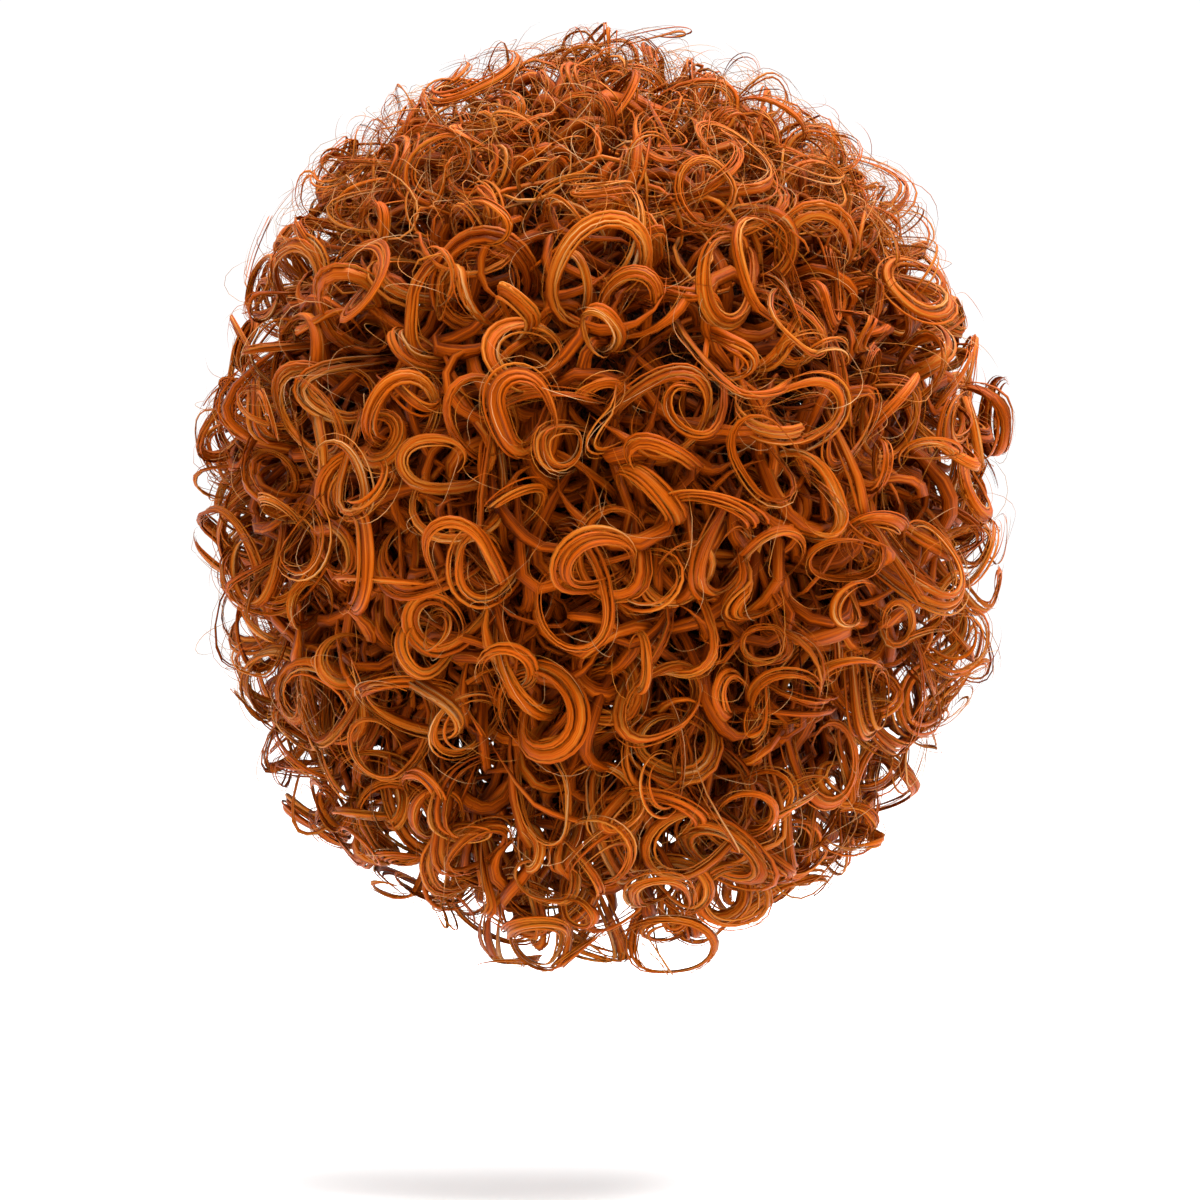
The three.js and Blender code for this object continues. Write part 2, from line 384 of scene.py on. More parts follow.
print("Material:", fibre.name, "with", len(fibre.node_tree.nodes), "nodes")

# %% [markdown]
# ### Knitted stretch net
# The cap is knitted from matt dark yarn in a small diamond mesh, and rows of stitching in the colour of the
# hair cross it. The real mesh of 1 mm would be too fine to show, so it is drawn in 3 mm diamonds. Two sets of
# slanting waves make the yarns, and where they cross the higher one shows.

# %% Mix the net
# How far the cap's UV map goes round and down, then the sizes of the pattern, in millimetres.
NET_ROUND = 534.0
NET_DOWN = 380.0
DIAMOND = 3.0
STITCH_ROWS = 9.0
YARN_HIGH = 0.5

# Matt yarn with holes between that are painted dark as shade, and lighter lines of stitches across.
net, net_shader = new_material("knitted_stretch_net")
net_place = add_node(net, "ShaderNodeUVMap", {"uv_map": "UVMap"})
yarns = []
for lean_of_yarn in (1.0, -1.0):
    yarn_place = add_node(
        net,
        "ShaderNodeMapping",
        {"Scale": (lean_of_yarn * NET_ROUND, NET_DOWN, 1.0)},
        {"Vector": net_place.outputs["UV"]},
    )
    yarn = add_node(
        net,
        "ShaderNodeTexWave",
        {"bands_direction": "DIAGONAL", "Scale": math.pi / 5 / DIAMOND, "Distortion": 0.4},
        {"Vector": yarn_place.outputs["Vector"]},
    )
    yarns.append(yarn.outputs["Fac"])
mesh_height = add_node(net, "ShaderNodeMath", {"operation": "MAXIMUM"}, {0: yarns[0], 1: yarns[1]})
object_place = add_node(net, "ShaderNodeTexCoord")
stitch_scale = math.pi / 10 / (STITCH_ROWS * MM)
rows_of_stitches = add_node(
    net,
    "ShaderNodeTexWave",
    {"bands_direction": "Z", "Scale": stitch_scale, "Distortion": 0.6, "Detail Scale": 60.0},
    {"Vector": object_place.outputs["Object"]},
)
stitched = add_node(net, "ShaderNodeValToRGB", links={"Fac": rows_of_stitches.outputs["Fac"]})
set_ramp(stitched, [(0.86, "#000000"), (0.97, "#ffffff")])
# Painted shade: where the yarns are low, in the holes, the colour is dark.
yarn_and_painted_hole_shade = add_node(net, "ShaderNodeValToRGB", links={"Fac": mesh_height.outputs[0]})
set_ramp(yarn_and_painted_hole_shade, [(0.55, "#240d03"), (0.95, "#582708")])
net_colour = add_node(
    net,
    "ShaderNodeMix",
    {"data_type": "RGBA", 7: linear("#8f430f")},
    {0: stitched.outputs["Color"], 6: yarn_and_painted_hole_shade.outputs["Color"]},
)
net_height = add_node(
    net, "ShaderNodeMath", {"operation": "ADD"}, {0: mesh_height.outputs[0], 1: stitched.outputs["Color"]}
)
net_relief = add_node(
    net, "ShaderNodeBump", {"Strength": 0.7, "Distance": YARN_HIGH * MM}, {"Height": net_height.outputs[0]}
)
set_node(
    net,
    net_shader,
    {"Roughness": 0.9, "Specular IOR Level": 0.2},
    {"Base Color": net_colour.outputs[2], "Normal": net_relief.outputs["Normal"]},
)
print("Material:", net.name, "with", len(net.node_tree.nodes), "nodes")

# %% [markdown]
# ### Woven binding tape
# A narrow woven tape binds the edge of the cap so that the knit can't run. Its close weave shows as ribs
# across the tape. They are drawn 1.2 mm apart, coarser than the threads, so that they show.

# %% Mix the tape
TAPE_RIB = 1.2
RIB_HIGH = 0.3

# A close matt weave, a little shinier than the yarn, with painted shade in the troughs between its ribs.
tape, tape_shader = new_material("woven_binding_tape")
tape_place = add_node(tape, "ShaderNodeUVMap", {"uv_map": "UVMap"})
tape_size = add_node(
    tape, "ShaderNodeMapping", {"Scale": (NET_ROUND, NET_DOWN, 1.0)}, {"Vector": tape_place.outputs["UV"]}
)
ribs = add_node(
    tape,
    "ShaderNodeTexWave",
    {"bands_direction": "X", "Scale": math.pi / 10 / TAPE_RIB},
    {"Vector": tape_size.outputs["Vector"]},
)
# Painted shade: the colour is darker where the ribs are low.
tape_and_painted_rib_shade = add_node(tape, "ShaderNodeValToRGB", links={"Fac": ribs.outputs["Fac"]})
set_ramp(tape_and_painted_rib_shade, [(0.0, "#2a1207"), (1.0, "#5b2d13")])
tape_relief = add_node(
    tape, "ShaderNodeBump", {"Strength": 0.5, "Distance": RIB_HIGH * MM}, {"Height": ribs.outputs["Fac"]}
)
set_node(
    tape,
    tape_shader,
    {"Roughness": 0.8, "Specular IOR Level": 0.25},
    {"Base Color": tape_and_painted_rib_shade.outputs["Color"], "Normal": tape_relief.outputs["Normal"]},
)
print("Material:", tape.name, "with", len(tape.node_tree.nodes), "nodes")

# %% [markdown]
# ## Where the curls stand
# The main curls stand where the solids have theirs, one behind the other along each row. Smaller curls fill
# the space between, with a few long swoops and thin loops among them. They could be scattered at random, but
# that leaves bare patches, so steps of the golden ratio spread them evenly without ever lining up.

# %% Place the curls
GOLDEN = (5**0.5 - 1) / 2
EDGE_CLEAR_DEG = 7.0
CROWN_DEG = 55.0
MEAN_REACH = 158.0
# How far places may stray along a row, as shares of a step, and across it, as a share of its breadth.
STEP_STRAY = (0.1, 0.9)
LEVEL_STRAY = 0.15


def main_places():
    """Azimuth, angle from the top and row number of every main curl."""
    places = []
    for number, row in enumerate(ROWS):
        polar = 0.0 if row["top"] == 0 else (row["top"] + row["bottom"]) / 2
        span = 360.0 - 2 * row["gap"]
        places += [(row["gap"] + (i + 0.5) * span / row["curls"], polar, number) for i in range(row["curls"])]
    return np.array(places)


def even_places(area_each):
    """Places spread evenly over all rows, one for each area in square millimetres."""
    places = []
    for number, row in enumerate(ROWS):
        top, bottom = np.cos(np.radians([row["top"], row["bottom"]]))
        gap = row["gap"] + (EDGE_CLEAR_DEG if row["gap"] else 0.0)
        span = 360.0 - 2 * gap
        area = math.radians(span) * MEAN_REACH**2 * (top - bottom)
        count = max(2, round(area / area_each))
        order = np.arange(count)
        azimuth = gap + (order + rng.uniform(*STEP_STRAY, count)) * span / count
        level = top + (bottom - top) * ((order * GOLDEN + rng.uniform(0.0, LEVEL_STRAY, count)) % 1.0)
        places.append(np.stack([azimuth, np.degrees(np.arccos(level)), np.full(count, number)], axis=1))
    return np.concatenate(places)


def on_crown(places):
    """The places on the crown, where the hair is thinnest and most tousled."""
    return places[places[:, 1] < CROWN_DEG]


def low_down(places, first_row, least, most=180.0):
    """The places from a row down that are turned from the face by angles in a range."""
    turn = from_face(places[:, 0])
    return places[(places[:, 2] >= first_row) & (turn > least) & (turn < most)]


main = main_places()
fill = np.concatenate([even_places(820.0), low_down(even_places(400.0), first_row=7, least=105.0)])
swoops = even_places(4500.0)
loops_out = np.concatenate(
    [
        even_places(4200.0),
        on_crown(even_places(1500.0)),
        low_down(even_places(1100.0), first_row=6, least=75.0, most=125.0),
    ]
)
print("Main curls:", len(main), "curls between:", len(fill), "swoops:", len(swoops), "loops:", len(loops_out))

# %% [markdown]
# ## A ringlet
# A ringlet is a ribbon of fibres that was wound round a rod and heat-set. It sweeps out of the hair above,
# opens into a ring of about one turn to one and a half and ends in a point. Its axis points out of the wig,
# tipped to one side and drooping, so a viewer looks into the rings in front and sees loops along the outline.
# No ring is a true circle: each is a little oval, winds inwards and wobbles. A Screw modifier would make
# every coil alike, so each gets settings of its own.

# %% Choose the shape of each ringlet
FULL_TURN = 2 * np.pi
DOWN = np.array([0.0, 0.0, -1.0])
# Rings face outwards more than up: the upward part of their direction is halved.
LEVELLED = np.array([1.0, 1.0, 0.5])
# The share of a ribbon that sweeps in before its ring, and how its turns quicken towards the tip.
SWEEP_SHARE = 0.2
CURL_POWER = 1.2
# On the crown, fading below an angle, locks are slimmer by a share and stand up by so many millimetres.
CROWN_FINER = 0.4
CROWN_RAISED = 4.0
TOUSLED_TO_DEG = 30.0
TOUSLED_FADE_DEG = 45.0
# Room for a ribbon beside its ring, how far it may sweep aside and how far it wobbles, in millimetres.
RIBBON_CLEAR = 3.5
SWEEP_ASIDE = 12.0
WOBBLE = 1.2
# Shares, least and greatest: how far a sweep bows, how oval a ring is, how far it winds in, how loose it is.
BOW = (0.25, 0.45)
OVAL = (0.02, 0.2)
SPIRAL = (0.0, 0.32)
LOOSENESS = (0.5, 1.15)
# How a ribbon leans across its coil and twists along it, and its tone between dark 0 and pale 1.
SLANT_DEG = (20.0, 80.0)
TWIST_DEG = 80.0
COIL_TONE = (0.36, 0.54)


def make_coils(
    places, radius, turns, pitch, lean, sunk, droop, sweep, rooted=(16.0, 28.0), finer=CROWN_FINER, start=0.3
):
    """The settings of one coil for each place; each of the pairs is a least and a greatest value.

    Lean tips the axis from straight outwards, in degrees, and droop pulls it down. Sunk is how far a ring
    lies below the outline, sweep how far above the ring its ribbon begins and rooted how much deeper, in
    millimetres. Finer is how much slimmer the locks get on the crown, and start is the share of its radius
    with which a ring begins.
    """
    count = len(places)
    azimuth, polar, row = places.T
    row = row.astype(int)
    out = towards(azimuth, polar)
    upwards = -towards(azimuth, polar + 90.0)
    sideways = np.cross(out, upwards)
    outward = unit(out * LEVELLED)
    tangent = unit(np.cross(outward, rng.normal(size=(count, 3))))
    tip_angle = np.radians(rng.uniform(*lean, count))[:, None]
    axis = outward * np.cos(tip_angle) + tangent * np.sin(tip_angle)
    axis = unit(axis + DOWN * rng.uniform(*droop, count)[:, None])
    side = unit(np.cross(axis, rng.normal(size=(count, 3))))
    up = np.cross(axis, side)
    ring = rng.uniform(*radius, count)
    tipped = np.sqrt(np.maximum(0.0, 1.0 - np.sum(axis * out, axis=1) ** 2))
    tousled = 1.0 - ease((polar - TOUSLED_TO_DEG) / TOUSLED_FADE_DEG)
    depth = rng.uniform(*sunk, count) - CROWN_RAISED * tousled
    distance = hair_reach(azimuth, polar, ROW_GAPS[row]) - depth - (ring + RIBBON_CLEAR) * tipped
    lead = upwards * rng.uniform(*sweep, count)[:, None]
    lead = lead + sideways * rng.uniform(-SWEEP_ASIDE, SWEEP_ASIDE, count)[:, None]
    lead = lead - out * rng.uniform(*rooted, count)[:, None]
    bow = np.cross(lead, unit(rng.normal(size=(count, 3)))) * rng.uniform(*BOW, count)[:, None]
    bow = bow - out * np.maximum(0.0, np.sum(bow * out, axis=1))[:, None]
    hand = rng.choice([-1.0, 1.0], count)
    turned = rng.uniform(*turns, count)
    # The ribbon arrives along its ring: where the sweep ends, the ring runs the way that the sweep does.
    arrival = np.arctan2(hand * np.sum(lead * side, axis=1), -hand * np.sum(lead * up, axis=1))
    return {
        "row": row,
        "top": HAIR_CENTRE + out * distance[:, None],
        "lead": lead,
        "bow": bow,
        "axis": axis,
        "side": side,
        "up": up,
        "radius": ring,
        "start": np.full(count, start),
        "turns": turned,
        "hand": hand,
        "phase": arrival - hand * FULL_TURN * turned * SWEEP_SHARE**CURL_POWER,
        "pitch": rng.uniform(*pitch, count),
        "oval": rng.uniform(*OVAL, count),
        "oval_turn": rng.uniform(0.0, FULL_TURN, count),
        "spiral": rng.uniform(*SPIRAL, count),
        "slant": np.radians(rng.uniform(*SLANT_DEG, count)),
        "twist": np.radians(rng.uniform(-TWIST_DEG, TWIST_DEG, count)),
        "fine": 1.0 - finer * tousled,
        "wobble": rng.normal(0.0, WOBBLE, (count, 3)),
        "wobble_turn": rng.uniform(0.0, FULL_TURN, count),
        "tone": rng.uniform(*COIL_TONE, count),
        "loose": rng.uniform(*LOOSENESS, count),
    }


print("Greatest tilt of a ribbon in degrees:", SLANT_DEG[1] + TWIST_DEG / 2)

# %% [markdown]
# There are four kinds. The main curls are the largest closed rings and face outwards. The curls between them
# are smaller and tip more. Swoops are long waves that don't close to a ring, and thin loops stand up on the
# outline.

# %% Shape the four kinds of ringlets
main_coils = make_coils(
    main,
    radius=(12.5, 19.0),
    turns=(1.1, 1.5),
    pitch=(2.0, 8.0),
    lean=(8.0, 55.0),
    sunk=(-2.0, 5.0),
    droop=(0.0, 0.25),
    sweep=(4.0, 22.0),
)
fill_coils = make_coils(
    fill,
    radius=(8.0, 17.0),
    turns=(0.95, 1.35),
    pitch=(3.0, 12.0),
    lean=(10.0, 76.0),
    sunk=(-2.0, 10.0),
    droop=(0.0, 0.35),
    sweep=(3.0, 24.0),
)
swoop_coils = make_coils(
    swoops,
    radius=(14.0, 24.0),
    turns=(0.55, 0.9),
    pitch=(3.0, 12.0),
    lean=(30.0, 85.0),
    sunk=(0.0, 10.0),
    droop=(0.0, 0.3),
    sweep=(20.0, 45.0),
)
loop_coils = make_coils(
    loops_out,
    radius=(8.0, 16.0),
    turns=(0.8, 1.3),
    pitch=(1.0, 6.0),
    lean=(20.0, 90.0),
    sunk=(-4.0, 2.0),
    droop=(0.0, 0.3),
    sweep=(4.0, 30.0),
)
print("Largest ring in mm:", round(2 * max(coils["radius"].max() for coils in (main_coils, fill_coils))))

# %% [markdown]
# ## From ringlets to strands
# A ribbon is one broad lock with narrower locks and single fibres that leave it a little and come back. All
# of them follow the same coil, so one function gives the middle of the ribbon at any share of its length,
# with the ways across it and out of it.

# %% Follow the coils
OPENING_SHARE = 0.35
WOBBLE_WAVES = 1.4
MEASURE_POINTS = 60


def follow_coils(coils, share, wider, later):
    """Points along the coils at shares of their length, and the ways across and out of the ribbon there."""

    def each(name):
        return coils[name].reshape((len(share), 1, 1) + coils[name].shape[1:])

    angle = each("phase") + each("hand") * FULL_TURN * each("turns") * share**CURL_POWER + later
    opening = each("start") + (1.0 - each("start")) * ease(share / OPENING_SHARE)
    opening = opening * (1.0 - each("spiral") * share)
    uneven = 1.0 + each("oval") * np.cos(2 * angle + each("oval_turn"))
    ring = each("radius") * wider * opening * uneven
    spoke = each("side") * np.cos(angle)[..., None] + each("up") * np.sin(angle)[..., None]
    risen = -each("pitch") * each("turns") * (1.0 - share)
    arrived = ease(share / (2 * SWEEP_SHARE))[..., None]
    swept = each("lead") * (1.0 - arrived) + each("bow") * np.sin(np.pi * arrived)
    swung = each("wobble") * np.sin(FULL_TURN * WOBBLE_WAVES * share + each("wobble_turn"))[..., None]
    middle = each("top") + swept + swung + each("axis") * risen[..., None] + spoke * ring[..., None]
    slant = (each("slant") + each("twist") * (share - 0.5))[..., None]
    across = each("axis") * np.cos(slant) - spoke * np.sin(slant)
    facing = spoke * np.cos(slant) + each("axis") * np.sin(slant)
    return middle, across, facing


measured = np.broadcast_to(np.linspace(0.0, 1.0, MEASURE_POINTS), (len(main), 1, MEASURE_POINTS))
ribbon_steps = np.diff(follow_coils(main_coils, measured, 1.0, 0.0)[0], axis=2)
ribbon_length = np.linalg.norm(ribbon_steps, axis=-1).sum(axis=2).mean()
print("Mean length of a main ringlet in mm:", round(ribbon_length))

# %% [markdown]
# No hair may run through the cap or across the open hollow, and no stray curl may make the wig much larger
# than its solids are. Points inside the hollow are pushed straight out. Points near the limits are drawn in
# softly, because a hard limit would leave strands that look cut off flat.

# %% Keep strands in their room
# In millimetres: the hard limit beyond the box of the solids, and how far before it hair is drawn in.
BOX_CLEAR = 8.5
BOX_SOFT = 6.0
BOX_LOW = np.array(cad_low) / MM - BOX_CLEAR
BOX_HIGH = np.array(cad_high) / MM + BOX_CLEAR
# Room between the cap and the hair, and limits that keep points at the very middle from flying off.
CAP_CLEAR = 1.2
LEAST_SHARE = 0.05
LEAST_RADIUS = 1.0


def draw_in(beyond):
    """How far points that go beyond the soft limit are drawn back, so that none passes the hard one."""
    beyond = np.maximum(beyond, 0.0)
    return beyond - BOX_SOFT * (1.0 - np.exp(-beyond / BOX_SOFT))


def keep_clear(points):
    """Push points out of the hollow and the space below it, and keep stray ones near the solids' box."""
    from_centre = points - HOLLOW_CENTRE
    share = np.linalg.norm(from_centre / (HOLLOW_RADII + CAP_WALL + CAP_CLEAR), axis=-1, keepdims=True)
    points = np.where(share < 1.0, HOLLOW_CENTRE + from_centre / np.maximum(share, LEAST_SHARE), points)
    radius = np.linalg.norm(points[..., :2], axis=-1, keepdims=True)
    inside = (points[..., 2:] < HOLLOW_CENTRE[2]) & (radius < NAPE_CLEAR_RADIUS)
    push = np.where(inside, NAPE_CLEAR_RADIUS / np.maximum(radius, LEAST_RADIUS), 1.0)
    points = points * np.concatenate([push, push, np.ones_like(push)], axis=-1)
    too_high = draw_in(points - BOX_HIGH + BOX_SOFT)
    too_low = draw_in(BOX_LOW + BOX_SOFT - points)
    return points - too_high + too_low


print("Room for stray hair in mm:", [round(side) for side in BOX_HIGH - BOX_LOW])

# %% [markdown]
# A strand follows its coil over some share of the length, in a lane of its own, wanders a little and tapers
# to its tip. The lanes of a lock rise and fall by themselves, which breaks up its shine. Towards the tip the
# lanes draw together, as a curl does that was set on a rod.

# %% Wind strands along the coils
# The corners of a lock move by shares of its half width, in waves along it, and differ in tone.
LANE_RELIEF = np.array([0.16, 0.07])
LANE_WAVES = (0.6, 2.4)
LANE_ROLL = 0.4
LANE_TONE = 0.05
# A stray strand wanders in waves, in millimetres, on a ring that is wider by a share and later by an angle.
WANDER = 0.9
WANDER_WAVES = (0.5, 1.3)
STRAY_WIDER = 0.12
STRAY_LATER = 0.2
# From this share of a coil on, its lanes draw together by so much.
GATHER_FROM = 0.5
GATHERED = 0.55
# Widths at the root and the tip, and the shares of the length over which they change.
ROOT_WIDTH = 0.2
ROOT_SHARE = 0.25
TIP_FROM = 0.55
TIP_SHARE = 0.45
TIP_THINNED = 0.9


def wind_strands(coils, section, strands, points, half_width, spread, lift, stray, length, tone_and_painted_light):
    """Batches of strands along coils, one batch for each row.

    The half width, the lift off the ribbon, the share of the coil's length and the tone that a strand adds to
    its coil are least and greatest values. That tone is partly random and partly painted light: loose fibres
    get it paler, as lit fibres look, and the locks underneath darker, as painted shade. Spread is how far
    lanes lie to either side, in millimetres, and stray is how freely strands leave the coil.
    """
    count = len(coils["row"])

    def vary(low, high, *more):
        return rng.uniform(low, high, (count, strands, 1) + more)

    def wave(slow, fast):
        return np.sin(FULL_TURN * (vary(slow, fast) * share + vary(0.0, 1.0)))

    along = np.linspace(0.0, 1.0, points)
    run = vary(*length)
    share = (1.0 - run) * vary(0.0, 1.0) + run * along ** (1.0 / CURL_POWER)
    wider = 1.0 + stray * vary(-STRAY_WIDER, STRAY_WIDER)
    middle, across, facing = follow_coils(coils, share, wider, stray * vary(-STRAY_LATER, STRAY_LATER))
    drawn_together = GATHERED * ease((share - GATHER_FROM) / (1.0 - GATHER_FROM))
    gather = coils["loose"][:, None, None] * (1.0 - drawn_together)
    lane = gather * vary(-spread, spread) + stray * WANDER * wave(*WANDER_WAVES)
    rise = gather * vary(*lift) + stray * WANDER * wave(*WANDER_WAVES)
    path = middle + across * lane[..., None] + facing * rise[..., None]

    tangent = unit(np.gradient(path, axis=2))
    side = unit(np.cross(tangent, facing + across * vary(-LANE_ROLL, LANE_ROLL)[..., None]))
    ridge = np.cross(side, tangent)
    taper = ROOT_WIDTH + (1.0 - ROOT_WIDTH) * ease(along / ROOT_SHARE)
    taper = taper * (1.0 - TIP_THINNED * ease((along - TIP_FROM) / TIP_SHARE))
    half = (vary(*half_width) * coils["fine"][:, None, None] * taper)[..., None, None]
    corners = len(section)
    swing = vary(*LANE_WAVES, corners, 2) * along[:, None, None] + vary(0.0, 1.0, corners, 2)
    place = section + LANE_RELIEF * np.sin(FULL_TURN * swing)
    outline = side[..., None, :] * place[..., :1] + ridge[..., None, :] * place[..., 1:]
    rings = keep_clear(path[..., None, :] + half * outline)
    # Painted light and shade: some kinds of strand get their tone raised or lowered here, besides random tone.
    tones = coils["tone"][:, None, None] + vary(*tone_and_painted_light)
    tones = np.clip(tones + rng.normal(0.0, LANE_TONE, (count, strands, corners)), 0.0, 1.0)
    batches = []
    for number in range(len(ROWS)):
        own = coils["row"] == number
        batches.append(
            {
                "rings": rings[own].reshape(-1, points, corners, 3),
                "tones": tones[own].reshape(-1, corners),
                "tips": share[own].reshape(-1, points),
            }
        )
    return batches


def count_strands(groups):
    """How many strands the groups of batches hold."""
    return sum(len(batch["tones"]) for group in groups for batch in group)


print("Width of a strand's root and tip as shares of its width:", ROOT_WIDTH, round(1.0 - TIP_THINNED, 2))

# %% [markdown]
# Every ringlet gets a broad lock that closes its ring, narrow locks beside it that give it its grooved look,
# and a few fibres that have come loose, paler than the locks as painted light. The thin loops on the outline
# have no broad lock, so light shines through them.

# %% Wind the ringlets
# A narrow lock lies beside a broad one and gets by with fewer points.
SPARED_POINTS = 4
FIBRE_POINTS = 10


def wind_ringlets(coils, points, reach, narrow, fibres):
    """A broad lock for each coil, with so many narrow locks and fibres within reach of it, in millimetres.

    The locks come back as a list of groups, and the fibres as one group.
    """
    broad_locks = wind_strands(
        coils,
        BROAD,
        strands=1,
        points=points,
        half_width=(0.3 * reach, 0.58 * reach),
        spread=0.25 * reach,
        lift=(-0.5, 0.5),
        stray=0.3,
        length=(0.93, 1.0),
        tone_and_painted_light=(-0.08, 0.06),
    )
    narrow_locks = wind_strands(
        coils,
        NARROW,
        strands=narrow,
        points=points - SPARED_POINTS,
        half_width=(0.1 * reach, 0.26 * reach),
        spread=reach,
        lift=(-0.8, 1.3),
        stray=0.7,
        length=(0.7, 1.0),
        tone_and_painted_light=(-0.1, 0.14),
    )
    loose_fibres = wind_strands(
        coils,
        FIBRE,
        strands=fibres,
        points=FIBRE_POINTS,
        half_width=(0.1, 0.16),
        spread=1.3 * reach,
        lift=(-1.0, 2.5),
        stray=1.6,
        length=(0.22, 0.42),
        # Painted light: loose fibres are paler than their lock, as lit single fibres look.
        tone_and_painted_light=(0.05, 0.4),
    )
    return [broad_locks, narrow_locks], loose_fibres


main_locks, main_fibres = wind_ringlets(main_coils, points=34, reach=4.6, narrow=5, fibres=9)
fill_locks, fill_fibres = wind_ringlets(fill_coils, points=28, reach=3.8, narrow=5, fibres=5)
swoop_locks, swoop_fibres = wind_ringlets(swoop_coils, points=21, reach=4.0, narrow=4, fibres=6)
loop_locks = wind_strands(
    loop_coils,
    NARROW,
    strands=2,
    points=24,
    half_width=(0.35, 0.8),
    spread=2.8,
    lift=(-1.0, 1.0),
    stray=1.0,
    length=(0.8, 1.0),
    tone_and_painted_light=(0.0, 0.2),
)
loop_fibres = wind_strands(
    loop_coils,
    FIBRE,
    strands=6,
    points=FIBRE_POINTS,
    half_width=(0.1, 0.18),
    spread=2.8,
    lift=(-1.0, 1.0),
    stray=1.5,
    length=(0.25, 0.45),
    # Painted light: these fibres are paler than their loop, as lit single fibres look.
    tone_and_painted_light=(0.1, 0.4),
)
locks = main_locks + fill_locks + swoop_locks + [loop_locks]
fibres = [main_fibres, fill_fibres, swoop_fibres, loop_fibres]
print("Strands in the ringlets:", count_strands(locks + fibres))

# %% [markdown]
# ## The hair underneath
# Between the ringlets one looks into matted hair close to the cap, which lies in shade. Broad flat locks,
# wound the same way but deeper, close the view there at little cost, and their tone is set darker as painted
# shade. They lie in shadow, so they need no fine fibres.
# At the nape, below the cap, more layers hang further in. On the crown, where the ringlets are finer, many
# thin curled wisps lie between them as well.

# %% Wind the undercoat
under_shape = dict(radius=(11.0, 22.0), turns=(0.55, 0.9), pitch=(4.0, 14.0), lean=(20.0, 85.0))
under_shape |= dict(droop=(0.0, 0.4), sweep=(4.0, 28.0), finer=0.0, start=0.7)
under_coils = make_coils(even_places(175.0), sunk=(11.0, 46.0), **under_shape)
deep_places = low_down(even_places(62.0), first_row=5, least=105.0)
deep_coils = make_coils(deep_places, sunk=(20.0, 80.0), **under_shape)
wisp_shape = under_shape | dict(radius=(8.0, 15.0), turns=(0.9, 1.4))
wisp_coils = make_coils(on_crown(even_places(210.0)), sunk=(3.0, 18.0), **wisp_shape)

single_lock = dict(strands=1, spread=1.0, lift=(-1.0, 1.0), stray=0.8, length=(0.9, 1.0))
# Painted shade: the locks underneath get a tone well below their coil's.
painted_shade_lock = single_lock | dict(points=12, half_width=(1.8, 3.2), tone_and_painted_light=(-0.34, -0.1))
wisp_lock = single_lock | dict(points=18, half_width=(0.45, 0.95), tone_and_painted_light=(-0.05, 0.2))
undercoat = [
    wind_strands(under_coils, NARROW, **painted_shade_lock),
    wind_strands(deep_coils, NARROW, **painted_shade_lock),
    wind_strands(wisp_coils, NARROW, **wisp_lock),
]
print("Locks underneath:", count_strands(undercoat))

# %% [markdown]
# ## Flyaway fibres
# Single fibres spring out of every curl and blur the outline, most of all on the crown. They follow loose
# curls of their own with rods a quarter of a millimetre wide, which show as fine light lines: their tone is set
# paler than the locks, painted light as lit fibres look.

# %% Scatter the flyaways
flyaway_coils = make_coils(
    np.concatenate([even_places(420.0), on_crown(even_places(58.0))]),
    radius=(7.0, 20.0),
    turns=(0.4, 0.8),
    pitch=(4.0, 22.0),
    lean=(0.0, 85.0),
    sunk=(-5.0, 8.0),
    droop=(-0.2, 0.3),
    sweep=(-6.0, 14.0),
    rooted=(4.0, 14.0),
    finer=0.0,
    start=0.9,
)
flyaways = wind_strands(
    flyaway_coils,
    FIBRE,
    strands=1,
    points=13,
    half_width=(0.09, 0.14),
    spread=3.0,
    lift=(-1.0, 1.0),
    stray=0.7,
    length=(0.55, 0.8),
    # Painted light: flyaways are paler than the locks, as lit single fibres look.
    tone_and_painted_light=(0.18, 0.48),
)
print("Flyaway fibres:", count_strands([flyaways]))

# %% [markdown]
# ## Fibres that leave a lock
# A fibre that has sprung loose still comes out of a lock somewhere. The start of every single fibre is drawn
# to the nearest point of a lock, and the rest follows less and less, so that its tip stays where it was. A
# tree of points finds the nearest one quickly among some hundred thousand.

# %% Root the fibres
def root_fibres(fibre_groups, lock_groups):
    """Bend every fibre so that it starts in the nearest lock. Returns the longest way moved, in mm."""
    lines = [batch["rings"].mean(axis=2).reshape(-1, 3) for group in lock_groups for batch in group]
    middles = np.concatenate(lines)
    tree = KDTree(len(middles))
    for number, middle in enumerate(middles):
        tree.insert(middle, number)
    tree.balance()
    longest = 0.0
    for batch in [batch for group in fibre_groups for batch in group]:
        fade = np.linspace(1.0, 0.0, batch["rings"].shape[1])[:, None, None]
        for rings in batch["rings"]:
            start = rings[0].mean(axis=0)
            nearest, _, distance = tree.find(start)
            rings += (np.array(nearest) - start) * fade
            longest = max(longest, distance)
    return longest


fibres.append(flyaways)
locks += undercoat
print("Longest way to a lock in mm:", round(root_fibres(fibres, locks), 1))

# %% [markdown]
# ## One mesh for each row
# The rows of the real wig are sewn on one by one, and each solid stands for one row. So all strands that
# spring from a row become one mesh, which takes the place of that row's solid and moves with the wig.

# %% Join each row of hair
groups = locks + fibres
for number, row in enumerate(ROWS):
    piece = join_strands(row["node"] + "_ringlets", [group[number] for group in groups])
    piece.data.materials.append(fibre)
    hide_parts(row["node"])
    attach(piece, "root")

# %% [markdown]
# ## The cap
# The cap is a thin knitted dome, cut to the hairline with a tab before each ear and bound with tape. It shows
# through the face opening and from below. A sphere is cut in half, and every ring of it is drawn down to the
# hairline, so that the rows of the mesh follow the edge. Cutting a dome along the hairline instead would
# leave ragged faces there.

